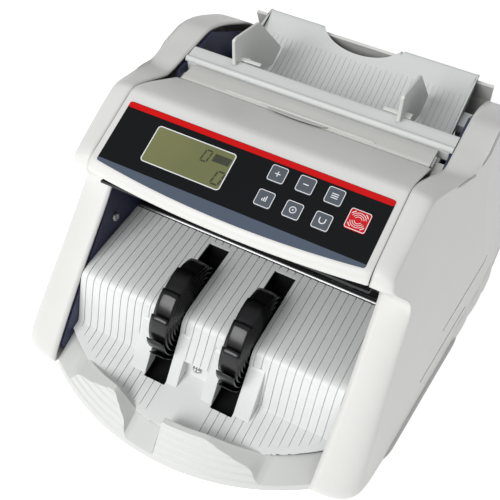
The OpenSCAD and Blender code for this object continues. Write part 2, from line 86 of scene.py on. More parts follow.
for name, place, power, width in (
    ("lamp_above", (0.1, 0.5, 1.4), 3.0, 0.8),
    ("lamp_front", (-0.4, -1.2, 1.1), 19, 0.9),
):
    lamp = bpy.data.objects.new(name, bpy.data.lights.new(name, "AREA"))
    lamp.data.energy = power
    lamp.data.size = width
    lamp.location = place
    lamp.rotation_euler = (AIM - Vector(place)).to_track_quat("-Z", "Y").to_euler()
    bpy.context.scene.collection.objects.link(lamp)

# ---- Side covers ----------------------------------------------------------------
# Two off-white shells, moulded in a fine-grained plastic and screwed to the inner
# plates. They roll from the deck over to the leaning outer walls.
DECK_Y = 72.0  # the control panel's lower edge lies this far in front of the middle, in mm


def placed(points):
    """Millimetres, with depth from the panel's edge, turned into the frame's metres."""
    p = np.array(points, dtype=float)
    p[..., 1] -= DECK_Y
    return p * 0.001


def new_piece(name, points, faces, body="base", smooth=True):
    """A mesh object from an array of points and a list or array of faces."""
    mesh = bpy.data.meshes.new(name)
    faces = [list(map(int, f)) for f in faces] if not isinstance(faces, np.ndarray) else faces.tolist()
    mesh.from_pydata(placed(points).reshape(-1, 3).tolist(), [], faces)
    mesh.polygons.foreach_set("use_smooth", np.full(len(mesh.polygons), smooth))
    mesh.update()
    piece = bpy.data.objects.new(name, mesh)
    bpy.context.scene.collection.objects.link(piece)
    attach(piece, body)
    return piece


def grid_faces(rows, cols, wrap_rows=False, wrap_cols=False, keep=None):
    """Quads between neighbouring grid points; keep is a mask of the cells that stay."""
    r = np.arange(rows if wrap_rows else rows - 1)
    c = np.arange(cols if wrap_cols else cols - 1)
    r, c = np.meshgrid(r, c, indexing="ij")
    r2, c2 = (r + 1) % rows, (c + 1) % cols
    quads = np.stack([r * cols + c, r * cols + c2, r2 * cols + c2, r2 * cols + c], axis=-1)
    return quads[keep] if keep is not None else quads.reshape(-1, 4)


def outward(piece):
    """Turns every face of a closed or open shell the same way, outwards."""
    work = bmesh.new()
    work.from_mesh(piece.data)
    bmesh.ops.remove_doubles(work, verts=work.verts, dist=1e-6)
    bmesh.ops.recalc_face_normals(work, faces=work.faces)
    work.to_mesh(piece.data)
    work.free()
    return piece


def walled(piece, thickness, offset=-1):
    """Gives a surface its wall thickness, in millimetres."""
    wall = piece.modifiers.new("wall", "SOLIDIFY")
    wall.thickness = thickness * 0.001
    wall.offset = offset
    return piece


def eased(piece, width):
    """Rounds the sharp edges of a piece, as a mould does."""
    bevel = piece.modifiers.new("eased_edges", "BEVEL")
    bevel.width = width * 0.001
    bevel.segments = 2
    bevel.limit_method = "ANGLE"
    bevel.angle_limit = np.radians(35)
    bevel.harden_normals = True
    return piece


def crisp(piece, angle=30):
    """Keeps creases sharp in an otherwise smooth surface."""
    split = piece.modifiers.new("crisp_creases", "EDGE_SPLIT")
    split.split_angle = np.radians(angle)
    return piece


def softened(line, rounds=2, closed=False, cut=0.25):
    """Corner cutting: each edge keeps the points at a share and one less that share."""
    p = np.asarray(line, dtype=float)
    for _ in range(rounds):
        q = np.roll(p, -1, axis=0) if closed else p[1:]
        a = p if closed else p[:-1]
        mid = np.stack([a * (1 - cut) + q * cut, a * cut + q * (1 - cut)], axis=1)
        mid = mid.reshape(-1, p.shape[1])
        p = mid if closed else np.concatenate([p[:1], mid[1:-1], p[-1:]])
    return p


def moulded(name, colour, rough=0.5, grain=900.0, depth=0.12, mottle=0.03, coat=0.0, shine=0.5):
    """Moulded plastic: a fine eroded grain, faint clouds of tone, and a little wear in gloss."""
    m = bpy.data.materials.new(name)
    m.use_nodes = True
    n, link = m.node_tree.nodes, m.node_tree.links.new
    skin = n["Principled BSDF"]
    skin.inputs["Coat Weight"].default_value = coat
    skin.inputs["Coat Roughness"].default_value = 0.15
    skin.inputs["Specular IOR Level"].default_value = shine
    where = n.new("ShaderNodeTexCoord")
    cloud = n.new("ShaderNodeTexNoise")
    cloud.inputs["Scale"].default_value = 9
    cloud.inputs["Detail"].default_value = 4
    link(where.outputs["Object"], cloud.inputs["Vector"])
    tone = n.new("ShaderNodeValToRGB")
    tone.color_ramp.elements[0].position = 0.3
    tone.color_ramp.elements[1].position = 0.7
    tone.color_ramp.elements[0].color = (*[c * (1 - mottle) for c in colour], 1)
    tone.color_ramp.elements[1].color = (*[min(1, c * (1 + mottle)) for c in colour], 1)
    link(cloud.outputs["Fac"], tone.inputs["Fac"])
    link(tone.outputs["Color"], skin.inputs["Base Color"])
    gloss = n.new("ShaderNodeMapRange")
    gloss.inputs["To Min"].default_value = rough - 0.05
    gloss.inputs["To Max"].default_value = rough + 0.06
    link(cloud.outputs["Fac"], gloss.inputs["Value"])
    link(gloss.outputs["Result"], skin.inputs["Roughness"])
    pits = n.new("ShaderNodeTexNoise")
    pits.inputs["Scale"].default_value = grain
    pits.inputs["Detail"].default_value = 2
    link(where.outputs["Object"], pits.inputs["Vector"])
    bump = n.new("ShaderNodeBump")
    bump.inputs["Strength"].default_value = depth
    bump.inputs["Distance"].default_value = 0.0004
    link(pits.outputs["Fac"], bump.inputs["Height"])
    link(bump.outputs["Normal"], skin.inputs["Normal"])
    return m


housing = moulded("housing_offwhite", (0.72, 0.715, 0.69), rough=0.42)

COVER_FOOT = 3.0  # the lower edge of the covers
COVER_WALL = 1.6
WALL_X, WALL_Y = 138.93, 38  # a point at the foot of the outer wall
SPREAD, LEAN = 0.1, 0.21  # its slopes to the back and to the top
FOLD_Y = 130.0  # it widens up to here and then runs straight back
SQUARENESS = 2.7  # 2 rolls the edge over as an ellipse, more makes it squarer
# Depth, height and distance from the middle plane along the seam with the console.
cover_in = np.array([
    [-72, 3, 97.8], [-73, 10, 97.8], [-50, 34.1, 97.8], [-27, 57.7, 97.4], [17.4, 103.3, 94.8],
    [16, 110, 94.7], [10.6, 116.5, 94.4], [4.2, 126, 93.6], [0, 131.8, 92.9], [-4.6, 138, 92.5],
    [0, 147.5, 92.5], [25, 155.2, 92.5], [48, 162.8, 92.5], [54, 162, 92.5], [66, 156, 93.2],
    [95, 138, 97.5], [104, 134, 99.5], [121, 134, 99.5], [130, 133.5, 99.5], [166, 133.5, 99.5],
    [245, 84, 99.5], [245, 3, 99.5], [130, 3, 99.5]])
# Depth and height of the outline where the roll runs out into the outer wall.
cover_out = np.array([
    [-49, 3], [-47.5, 14], [-35, 31.5], [-15, 57.5], [11, 91], [17.6, 100.5], [17.4, 109.5],
    [9.5, 121], [2.5, 130.5], [0.3, 136.8], [0.7, 141], [25.3, 152.7], [46, 158], [52, 158],
    [66, 153], [95.5, 141], [104, 136.5], [114, 134], [130, 134.8], [161, 136], [245, 82],
    [245, 3], [130, 3]], dtype=float)


def outer_wall(y, z):
    """Where the leaning side wall stands: it widens to the back and leans in to the top."""
    return WALL_X + SPREAD * (np.minimum(y, FOLD_Y) - WALL_Y) - LEAN * z


inner_edge = softened(cover_in, 3, closed=True, cut=0.2)
outer_edge = softened(np.c_[cover_out, outer_wall(*cover_out.T)], 3, closed=True, cut=0.2)
outer_edge[:, 2] = outer_wall(outer_edge[:, 0], outer_edge[:, 1])
inner_edge[:, 1] = np.maximum(inner_edge[:, 1], COVER_FOOT)
turn = np.linspace(0, 1, 19)[:, None]
reach = np.sin(turn * np.pi / 2) ** (2 / SQUARENESS)
fall = 1 - np.cos(turn * np.pi / 2) ** (2 / SQUARENESS)
cover_y = inner_edge[:, 0] + (outer_edge[:, 0] - inner_edge[:, 0]) * fall
cover_z = inner_edge[:, 1] + (outer_edge[:, 1] - inner_edge[:, 1]) * fall
cover_x = inner_edge[:, 2] + (outer_edge[:, 2] - inner_edge[:, 2]) * reach
VENT_HALF = 0.75


def slit_outline(y0, y1, z):
    """A long slit with round ends in the side wall, as depth and height."""
    a = np.linspace(-np.pi / 2, np.pi / 2, 7)
    cap = VENT_HALF * np.c_[np.cos(a), np.sin(a)]
    return np.concatenate([cap + [y1, z], -cap + [y0, z]])


def inside(points, loop):
    """Which points lie within a closed loop: a level ray from them crosses it an odd number of times."""
    a, b = loop, np.roll(loop, -1, axis=0)
    y, z = points[:, None, 0], points[:, None, 1]
    climb = np.where(b[:, 1] == a[:, 1], 1, b[:, 1] - a[:, 1])
    cross_at = a[:, 0] + (z - a[:, 1]) * (b[:, 0] - a[:, 0]) / climb
    return (((a[:, 1] > z) != (b[:, 1] > z)) & (y < cross_at)).sum(axis=1) % 2 == 1


# The wall is cut into triangles that keep its outline, the fold where it turns and the slits.
rim_line = np.c_[cover_y[-1], cover_z[-1]]
vents = [slit_outline(25, 97, 18), slit_outline(61, 137, 32.5)]
loops = [rim_line, *vents, np.array([[FOLD_Y, 2], [FOLD_Y, 140]])]
starts = np.cumsum([0] + [len(line) for line in loops])
ties = np.concatenate([np.c_[np.arange(a, b), np.r_[np.arange(a + 1, b), a]]
                       for a, b in zip(starts[:-1], starts[1:])])
flat_yz, _, flat_faces, *_ = delaunay_2d_cdt([Vector(p) for p in np.concatenate(loops)],
                                             ties.tolist(), [], 0, 1e-4)
flat_yz, flat_faces = np.array(flat_yz), np.array(flat_faces)
centre = flat_yz[flat_faces].mean(axis=1)
solid = inside(centre, rim_line) & ~inside(centre, vents[0]) & ~inside(centre, vents[1])
for side, name in ((-1, "left_cover"), (1, "right_cover")):
    roll = np.stack([side * cover_x, cover_y, cover_z], axis=-1).reshape(-1, 3)
    wall = np.c_[side * outer_wall(*flat_yz.T), flat_yz]
    faces = grid_faces(*cover_x.shape, wrap_cols=True).tolist()
    faces += (flat_faces[solid] + len(roll)).tolist()
    cover = outward(new_piece(name + "_shell", np.concatenate([roll, wall]), faces))
    cover.data.polygons.foreach_set("use_smooth", [len(f.vertices) == 4 for f in cover.data.polygons])
    walled(cover, COVER_WALL)
    cover.data.materials.append(housing)
    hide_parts(name)

# ---- Base rim ---------------------------------------------------------------------
# The moulded edge of the base that shows under each cover: a narrow ledge of the same
# off-white plastic in front, and three shallow grip bulges behind it.
GRIP_HIGH, GRIP_OUT, GRIP_HALF, GRIP_SUNK = 12.6, 1.2, 12.4, 0.15
GRIP_MIDDLES = 90, 114.8, 139.6
LEDGE_FRONT, LEDGE_REAR, LEDGE_OUT, LEDGE_FADE = -30, 84, 1.9, 9
RIM_WALL = 0.8
grip_y, grip_z = np.meshgrid(np.linspace(77.2, 152.4, 97), np.r_[0.6, 3, np.linspace(5, GRIP_HIGH, 11)],
                             indexing="ij")
along_grip = np.max([1 - ((grip_y - middle) / GRIP_HALF) ** 2 for middle in GRIP_MIDDLES], axis=0)
up_grip = np.clip(1 - (grip_z / GRIP_HIGH) ** 2, 0, 1)
grip_out = GRIP_OUT * np.sqrt(np.clip(along_grip, 0, 1) * up_grip) - GRIP_SUNK
ledge_y = np.linspace(LEDGE_FRONT, LEDGE_REAR, 39)[:, None]
run_in = np.clip((ledge_y - LEDGE_FRONT) / LEDGE_FADE, 0, 1) ** 0.5
run_out = np.clip((LEDGE_REAR - ledge_y) / LEDGE_FADE, 0, 1) ** 0.5
ledge_reach = LEDGE_OUT * run_in * run_out
ledge_out = ledge_reach * [0, 1, 1, 1, 0] - [2.5, 0.4, 0, 0.2, 2.5]
ledge_y, ledge_z = np.broadcast_arrays(ledge_y, np.array([0.3, 0.3, 0.7, 2.0, 2.2]))
for side, name in ((-1, "left"), (1, "right")):
    for label, out, y, z in (("grip", grip_out, grip_y, grip_z), ("ledge", ledge_out, ledge_y, ledge_z)):
        pts = np.stack([side * (outer_wall(y, np.maximum(z, COVER_FOOT)) + out), y, z], axis=-1)
        faces = grid_faces(*y.shape, wrap_cols=label == "ledge")
        edge = outward(new_piece(f"base_{label}_{name}", pts, faces))
        walled(edge, RIM_WALL)
        edge.data.materials.append(housing)

# ---- Console shell ----------------------------------------------------------------
# The hood over the stacker: one white moulding with a rounded lip at the front, the
# sloping deck for the control panel, and a shoulder that falls to the handle.
SLOPE = np.radians(18)
BOW_REACH, BOW_HALF = 6.6, 93
HOOD_WALL = 2.3
# Depth, height and share of the bow along the hood, from under the lip to the shoulder.
console_line = softened(np.array([
    [16, 136.4, 0.5], [4, 136.4, 0.72], [-1, 136.8, 0.76], [-4.4, 138, 0.8], [-5.3, 140.6, 0.84],
    [-3.8, 144.4, 0.92], [-0.6, 147.3, 1], [4, 148.8, 0.83], [24, 155.15, 0], [44, 161.5, 0],
    [48.5, 162.9, 0], [54, 162, 0], [66, 156, 0], [95, 138, 0], [100, 135, 0], [100, 128, 0]]), 3, cut=0.22)
station = np.array([-92.2, -91.9, -91, *np.linspace(-88, 88, 33), 91, 91.9, 92.2])
sink = np.interp(np.abs(station), [0, 91, 91.9, 92.2], [0, 0, 0.2, 0.55])
heading = np.gradient(console_line[:, :2], axis=0)
heading /= np.linalg.norm(heading, axis=1, keepdims=True)


def bow(x):
    """How far the lip stands out along the slope: an arch that is highest in the middle."""
    return BOW_REACH * np.clip(1 - (x / BOW_HALF) ** 2, 0, 1)


def across_grid(x, y, z):
    """Points in rows: every row has its own x, every point in it a depth and a height."""
    return np.stack(np.broadcast_arrays(np.asarray(x)[:, None], y, z), axis=-1)


share = console_line[None, :, 2] * bow(station)[:, None]
console_y = console_line[None, :, 0] + sink[:, None] * heading[None, :, 1] - share * np.cos(SLOPE)
console_z = console_line[None, :, 1] - sink[:, None] * heading[None, :, 0] - share * np.sin(SLOPE)
console = new_piece("console_hood", across_grid(station, console_y, console_z), grid_faces(*share.shape))
walled(outward(console), HOOD_WALL)
console.data.materials.append(housing)
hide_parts("console_shell")

# ---- Control panel ----------------------------------------------------------------
# A printed polyester film stuck on the deck: black, with a red line along its upper
# edge and a slate band that follows the bowed lip. Windows and keys have white lines.
DECK_Z = 147  # the height of the deck at its lower edge
CORNER_POINTS = 6


def deck_points(x, up, out):
    """A point given across, up the slope and out of it, in the machine's millimetres."""
    x, up, out = np.broadcast_arrays(np.asarray(x, float), up, out)
    return np.stack([x, up * np.cos(SLOPE) - out * np.sin(SLOPE),
                     DECK_Z + up * np.sin(SLOPE) + out * np.cos(SLOPE)], axis=-1)


def round_rect(cx, cy, w, h, r):
    """The outline of a rectangle with quarter-circle corners, anticlockwise."""
    a = np.linspace(0, np.pi / 2, CORNER_POINTS)
    corner = np.stack([np.cos(a), np.sin(a)], axis=1) * r
    turns = np.array([[1, 0, 0, 1], [0, -1, 1, 0], [-1, 0, 0, -1], [0, 1, -1, 0]]).reshape(4, 2, 2)
    middles = np.array([[1, 1], [-1, 1], [-1, -1], [1, -1]]) * [w / 2 - r, h / 2 - r]
    ring = np.einsum("kij,nj->kni", turns, corner) + middles[:, None]
    return ring.reshape(-1, 2) + [cx, cy]


def capped_faces(rows, cols, foot=True):
    """Quads round a closed tube, one face over its far end and, with a foot, one over its near end."""
    faces = grid_faces(rows, cols, wrap_cols=True).tolist()
    if foot:
        faces.append(list(range(cols - 1, -1, -1)))
    faces.append(list(range((rows - 1) * cols, rows * cols)))
    return faces


def deck_slab(name, outline, low, high, material, body="base"):
    """A flat printed shape on the deck: its outline between two heights, closed above and below."""
    rows = [deck_points(outline[:, 0], outline[:, 1], level) for level in (low, high)]
    piece = outward(new_piece(name, np.stack(rows), capped_faces(2, len(outline)), body, smooth=False))
    piece.data.materials.append(material)
    return piece


def deck_ring(name, outline, inner, low, high, material, body="base"):
    """A printed line: the strip between two outlines with the same number of points."""
    rows = [deck_points(line[:, 0], line[:, 1], level)
            for line, level in ((outline, low), (outline, high), (inner, high), (inner, low))]
    faces = grid_faces(len(rows), len(outline), True, True)
    piece = outward(new_piece(name, np.stack(rows), faces, body, smooth=False))
    piece.data.materials.append(material)
    return piece


film_black = moulded("film_black", (0.006, 0.007, 0.008), rough=0.5, grain=2600, depth=0.05,
                     mottle=0.1, shine=0.12)
film_red = moulded("film_red", (0.62, 0.004, 0.004), rough=0.5, grain=2600, depth=0.05, shine=0.15)
film_slate = moulded("film_slate", (0.085, 0.108, 0.15), rough=0.5, grain=2600, depth=0.05, shine=0.2)
film_white = moulded("film_white", (0.85, 0.86, 0.87), rough=0.45, grain=2600, depth=0.04)
FILM = 0.62  # its face lies this far out of the slope
FILM_HALF = 87.7
low_x = np.linspace(-86.9, 86.9, 41)
low_edge = np.concatenate([[[-FILM_HALF, 0.4]], np.c_[low_x, 0.1 - bow(low_x)], [[FILM_HALF, 0.4]]])
film_line = np.concatenate([low_edge, round_rect(0, 22, 175.6, 42.6, 2.6)[:2 * CORNER_POINTS]])
panel = deck_slab("panel_film", film_line, 0.1, FILM, film_black)
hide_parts("control_panel")
band = np.concatenate([low_edge, [[FILM_HALF, 1.55], [-FILM_HALF, 1.55]]])
deck_slab("panel_slate_band", band, FILM - 0.05, FILM + 0.03, film_slate)
stripe = round_rect(0, 41.2, 175.7, 3.9, 1.5)
deck_slab("panel_red_line", stripe, FILM - 0.05, FILM + 0.04, film_red)

# ---- Display ----------------------------------------------------------------------
# A liquid crystal window set in the film: olive glass with dark segments that show zeros
# and one plain block. Its white outline is printed on the film round it.
glass_olive = moulded("display_olive", (0.185, 0.195, 0.075), rough=0.3, grain=1200, depth=0.02,
                      mottle=0.16, coat=0.6)
segment_dark = moulded("display_segment", (0.045, 0.05, 0.028), rough=0.4, grain=1200, depth=0.02)
WINDOW = -35.55, 21.95  # its middle, across and up the slope
window = round_rect(*WINDOW, 53.0, 24.6, 1.8)
lcd = deck_slab("display_window", window, -4, FILM + 0.02, glass_olive)
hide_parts("display_module")
rim = deck_ring("display_outline", round_rect(*WINDOW, 54, 25.6, 2.3), round_rect(*WINDOW, 52.8, 24.4, 1.7),
                FILM - 0.05, FILM + 0.09, film_white)
DIGIT_LEAN = 0.16


def zero_digit(x, y, w, h, t):
    """Six bars of width t that make a zero: two level ones and four that lean with the digit."""
    level = np.array([[t * 0.1, -t / 2], [w - t * 0.1, -t / 2], [w - t * 0.7, t / 2], [t * 0.7, t / 2]])
    upright = np.array([[-t / 2, t * 0.1], [t / 2, t * 0.7],
                        [t / 2, h / 2 - t * 0.4], [-t / 2, h / 2 - t * 0.1]])
    bars = [level, level * [1, -1] + [0, h], upright, upright * [-1, 1] + [w, 0],
            upright * [1, -1] + [0, h], upright * [-1, -1] + [w, h]]
    return [np.c_[x + b[:, 0] + b[:, 1] * DIGIT_LEAN, y + b[:, 1]] for b in bars]


shapes = zero_digit(-28.4, 23.4, 4.0, 7.6, 1.0) + zero_digit(-15.8, 12.2, 4.8, 8.6, 1.15)
shapes.append(np.array([[-21.6, 25.3], [-10.5, 25.5], [-10.0, 30.6], [-21.0, 30.6]]))
for k, shape in enumerate(shapes):
    segment = deck_slab(f"display_segment_{k}", shape, FILM - 0.03, FILM + 0.06, segment_dark)

# ---- Keys -------------------------------------------------------------------------
# Slate caps that stand through the film, each with a white outline and a plain sign, and
# one red start key with white arcs. Each presses down 0.8 mm on its own switch.
key_slate = moulded("key_slate", (0.095, 0.11, 0.13), rough=0.5, grain=2400, depth=0.06, shine=0.2)
key_red = moulded("key_red", (0.6, 0.01, 0.012), rough=0.5, grain=2400, depth=0.06, shine=0.2)
places = {"key_1": (19.1, 32.1), "key_2": (37.0, 32.2), "key_3": (55.1, 32.0), "key_4": (18.8, 15.1),
          "key_5": (36.8, 15.0), "key_6": (54.8, 15.2), "start_key": (73.0, 23.4)}
KEY_SIZE, START_SIZE = 10.6, 12.8
CAP_POINTS = 4 * CORNER_POINTS
# How far each ring of a cap lies in from its side, and its height out of the slope.
cap_profile = np.array([[0.0, -3.4], [0.0, 1.3], [0.12, 1.53], [0.4, 1.65], [1.2, 1.71], [2.4, 1.77],
                        [3.9, 1.8]])


def bar(cx, cy, w, h):
    """A flat bar of a width and a height about its middle."""
    return np.array([[-w, -h], [w, -h], [w, h], [-w, h]]) / 2 + [cx, cy]


def arc_strip(cx, cy, r, t, start, end, count=24):
    """A strip of width t along part of a circle."""
    a = np.linspace(start, end, count)
    ray = np.c_[np.cos(a), np.sin(a)]
    return np.concatenate([ray * (r + t / 2), (ray * (r - t / 2))[::-1]]) + [cx, cy]


signs = {
    "key_1": [bar(0, 0, 3.4, 0.55), bar(0, 0, 0.55, 3.4)],
    "key_2": [bar(0, 0, 3.4, 0.6)],
    "key_3": [bar(0, 1.3, 4.2, 0.55), bar(0, 0, 4.2, 0.55), bar(0, -1.3, 4.2, 0.55)],
    "key_4": [bar(-1.1, -0.9, 0.6, 1.6), bar(0, -0.4, 0.6, 2.6), bar(1.1, 0.1, 0.6, 3.6)],
    "key_5": [arc_strip(0, 0, 1.9, 0.5, 0, 6.2), bar(0, 0, 0.9, 0.9)],
    "key_6": [arc_strip(0, 0.3, 1.8, 0.6, 3.14, 6.28), bar(-1.8, 1.1, 0.6, 1.7), bar(1.8, 1.1, 0.6, 1.7)],
    "start_key": [arc_strip(0, 0, r, 0.32, k + 0.3, k + 2.7) for r in (2.1, 3.3, 4.5) for k in (0, np.pi)]
    + [arc_strip(0, 0, 5.7, 0.5, k * np.pi / 2 + 0.55, k * np.pi / 2 + 1.02, 8) for k in range(4)],
}
for name, (cx, cy) in places.items():
    size = START_SIZE if name == "start_key" else KEY_SIZE
    rings = np.stack([np.c_[round_rect(cx, cy, size - 2 * d, size - 2 * d, max(1.5 - d * 0.3, 0.35)),
                            np.full(CAP_POINTS, z)] for d, z in cap_profile])
    cap_pts = deck_points(rings[..., 0], rings[..., 1], rings[..., 2])
    cap_faces = capped_faces(len(rings), CAP_POINTS, foot=False)
    cap = new_piece(name + "_cap", cap_pts, cap_faces, name + "_body")
    outward(cap).data.materials.append(key_red if name == "start_key" else key_slate)
    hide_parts(name)
    outer_line = round_rect(cx, cy, size - 0.25, size - 0.25, 1.45)
    inner_line = round_rect(cx, cy, size - 1.05, size - 1.05, 1.15)
    line = deck_ring(name + "_outline", outer_line, inner_line, 1.5, 1.74, film_white, name + "_body")
    for k, sign in enumerate(signs[name]):
        mark = deck_slab(f"{name}_sign_{k}", sign + [cx, cy], 1.66, 1.84, film_white, name + "_body")

# ---- Stack plate and tray floor -----------------------------------------------------
# One light grey moulding: a rounded crest over the stacker, a steep front with ramps
# beside the wheel slots, and the tray floor. Fine grooves run from back to front, and
# dark wells close the slots behind the wheels.
def prism_piece(name, profile, x0, x1, material, body="base", edge=0.4, rounds=0):
    """A closed side profile carried straight across from x0 to x1, with both ends shut."""
    line = softened(profile, rounds, closed=True, cut=0.22) if rounds else np.asarray(profile, float)
    rows = np.stack([np.c_[np.full(len(line), x), line] for x in (x0, x1)])
    piece = outward(new_piece(name, rows, capped_faces(2, len(line)), body, smooth=False))
    if edge:
        eased(piece, edge)
    piece.data.materials.append(material)
    return piece


def along(line, marks, count):
    """A line resampled by its length, with extra samples where its depth meets each mark."""
    length = np.r_[0, np.cumsum(np.linalg.norm(np.diff(line, axis=0), axis=1))]
    order = np.argsort(line[:, 0])
    extra = np.interp(marks, line[order, 0], length[order])
    s = np.unique(np.r_[np.linspace(0, length[-1], count), extra])
    return np.c_[np.interp(s, length, line[:, 0]), np.interp(s, length, line[:, 1])]


def groove_rows(half, centres, floor_half, top_half, marks):
    """Where the rows of a grooved surface lie: evenly spread, at all groove edges and at the marks."""
    edges = centres[:, None] + [-top_half, -floor_half, floor_half, top_half]
    return np.unique(np.round(np.r_[np.linspace(-half, half, 60), edges.ravel(), marks], 3))


def grooved(x, centres, floor_half, top_half, depth):
    """Depth of narrow grooves with steep sides at the given centres."""
    near = np.min(np.abs(x[:, None] - centres[None, :]), axis=1)
    return depth * np.clip((top_half - near) / (top_half - floor_half), 0, 1)


tray_grey = moulded("tray_grey", (0.78, 0.795, 0.78), rough=0.36, grain=700, depth=0.06, mottle=0.02)
SLOT_X, SLOT_HALF, SLOT_REAR, SLOT_FRONT = 25.6, 8.0, 37, -56.8  # the two openings for the wheels
TRAY_CENTRE, TRAY_RADIUS, GROOVE_RADIUS = 74, 156.4, 151.5  # the tray ends in an arc, the grooves too
GROOVE_SHAPE = 0.2, 0.34, 1.1  # half widths at the floor and at the top, and depth
TRAY_WALL = 1.5
grooves = np.arange(-92.4, 93, 5.6)
crest = along(softened([[42, 56], [-14, 58.9], [-27, 58], [-31.6, 49], [-41, 20.5], [-43.6, 17.5],
                        [-104, 11.4]], 3), [SLOT_REAR, SLOT_FRONT], 110)
slot_edges = [a * SLOT_X + b * SLOT_HALF for a in (-1, 1) for b in (-1, 1)]
plate_x = groove_rows(97, grooves, *GROOVE_SHAPE[:2], slot_edges)
sink = grooved(plate_x, grooves, *GROOVE_SHAPE)[:, None]
ahead = np.gradient(crest, axis=0)
ahead /= np.linalg.norm(ahead, axis=1, keepdims=True)
from_centre = np.hypot(plate_x[:, None], TRAY_CENTRE - crest[None, :, 0])
smooth_middle = (np.abs(plate_x) < 17.5)[:, None] & (crest[:, 0] < -36)[None, :]
near_slot = np.abs(np.abs(plate_x) - SLOT_X) < SLOT_HALF + 1.2
slot_end = near_slot[:, None] & (np.abs(crest[:, 0] - SLOT_REAR) < 2.5)[None, :]
sink = sink * np.clip((GROOVE_RADIUS - from_centre) / 2, 0, 1) * ~smooth_middle * ~slot_end
plate_y = crest[None, :, 0] - sink * ahead[None, :, 1]
plate_z = crest[None, :, 1] + sink * ahead[None, :, 0]
front_arc = TRAY_CENTRE - np.sqrt(TRAY_RADIUS ** 2 - plate_x ** 2)[:, None]
plate_y = np.maximum(plate_y, front_arc)
middle_x = (plate_x[1:] + plate_x[:-1]) / 2
middle_y = (crest[1:, 0] + crest[:-1, 0]) / 2
slot_length = (middle_y < SLOT_REAR) & (middle_y > SLOT_FRONT)
in_slot = (np.abs(np.abs(middle_x) - SLOT_X) < SLOT_HALF)[:, None] & slot_length[None, :]
flat = (plate_y[1:, 1:] - plate_y[1:, :-1] > -1e-6) & (crest[1:, 0] < -60)[None, :]
plate_faces = grid_faces(len(plate_x), len(crest), keep=~in_slot & ~flat)
plate = new_piece("stack_plate_top", across_grid(plate_x, plate_y, plate_z), plate_faces)
crisp(walled(outward(plate), TRAY_WALL))
plate.data.materials.append(tray_grey)
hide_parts("stack_plate")
well_black = moulded("well_black", (0.008, 0.008, 0.009), rough=0.7, grain=600, depth=0.1,
                     mottle=0.1, shine=0.2)
WELL_HALF, CHEEK_X, CHEEK_HALF = 8.9, 8.6, 0.3
ramp_line = [[-31.5, 48], [-33.4, 46.4], [-55.2, 16.3], [-42, 16.6]]
pan = [[38.6, 54.6], [36, 40], [26, 24], [10, 12.8], [-4, 9.6], [-15, 9.0], [-30, 9.0], [-56.6, 9.4]]
under = [[-56.6, 8.4], [-30, 8.3], [-15, 8.3], [-4, 8.8], [10, 11.8], [27, 23.3], [37, 39.6], [39.6, 54.4]]
cheek_top = [[-56.6, 13.4], [-42.6, 16], [-40, 20], [-31.5, 46], [-28, 53], [-21, 55.6], [-21, 41.5],
             [-9, 41.5], [-9, 56]]
for side in (-1, 1):
    for k, (a, b) in enumerate(((9.2, 17.5), (33.7, 45.5))):
        x0, x1 = sorted((side * a, side * b))
        ramp = prism_piece(f"slot_ramp_{side + 1}{k}", ramp_line, x0, x1, tray_grey, edge=0.6)
    well = prism_piece(f"wheel_well_{side + 1}", pan + under, side * SLOT_X - WELL_HALF,
                       side * SLOT_X + WELL_HALF, well_black, edge=0)
    for k, x in enumerate((-CHEEK_X, CHEEK_X)):
        cheek = prism_piece(f"well_cheek_{side + 1}{k}", pan + cheek_top, side * SLOT_X + x - CHEEK_HALF,
                            side * SLOT_X + x + CHEEK_HALF, well_black, edge=0)
hood_line = along(np.array([[-30.2, 51.2], [-33.4, 46.4], [-42.9, 33.6], [-42.2, 32.8], [-36, 32.6]]),
                  [-33.4, -42.8], 24)
HOOD_HALF = 9.3
hood_x = np.r_[np.linspace(-HOOD_HALF, HOOD_HALF, 5), plate_x[np.abs(plate_x) < HOOD_HALF]]
hood_x = np.unique(np.round(hood_x, 3))
hood_sink = grooved(hood_x, grooves, *GROOVE_SHAPE)[:, None] * (hood_line[:, 1] > 34)
hood_pts = across_grid(hood_x, hood_line[:, 0] + 0.8 * hood_sink, hood_line[:, 1] - 0.6 * hood_sink)
hood = outward(new_piece("pocket_hood", hood_pts, grid_faces(len(hood_x), len(hood_line))))
crisp(walled(hood, 1.2))
hood.data.materials.append(tray_grey)

# ---- Front fence --------------------------------------------------------------------
# The curved wall that stops the counted notes: stepped on its outer face, cut low at the
# sides and in the middle, with a raised tab on each side of the thumb notch.
fence_white = moulded("fence_white", (0.66, 0.665, 0.645), rough=0.4, grain=800, depth=0.08, mottle=0.02)
FENCE_FOOT, TIER_HIGH, TIER_STEP = 3, 4.4, 2.95
FENCE_OUTER, FENCE_INNER = 175, 155.05  # radii about the centre of the tray's arc
TOP_RADII, INNER_FOOT = (156.8, 156.1, 155.4), 8.5  # over the rounded top, then down to the tray
top_line = np.array([
    [-97.3, 12.2], [-82, 12.4], [-64, 18.2], [-44, 26.2], [-40.5, 26.8], [-38.5, 25.8], [-25, 13.2],
    [-21, 12.1], [-2.4, 12], [-1.9, 12.4], [-1.2, 26.8], [-0.2, 27.7], [27, 28.1], [30, 27.5],
    [66, 13.2], [70, 12.4], [97.3, 12.2]])
fence_x = np.unique(np.r_[np.linspace(-97.3, 97.3, 90), top_line[:, 0]])
height = np.interp(fence_x, *top_line.T)[:, None]
tiers = (np.arange(7)[:, None] + [0, 0.45, 0.86]).ravel()
ledge = height - (height - 6.4) * np.clip((15 - height) / 2.4, 0, 1)
tier = np.minimum(tiers[None, :], (ledge - FENCE_FOOT) / TIER_HIGH)
part = tier - np.floor(tier)
level = FENCE_FOOT + TIER_HIGH * tier
steps_in = np.floor(tier) + 0.78 * part + 0.22 * np.clip((part - 0.86) / 0.14, 0, 1)
outer_r = FENCE_OUTER - TIER_STEP * steps_in
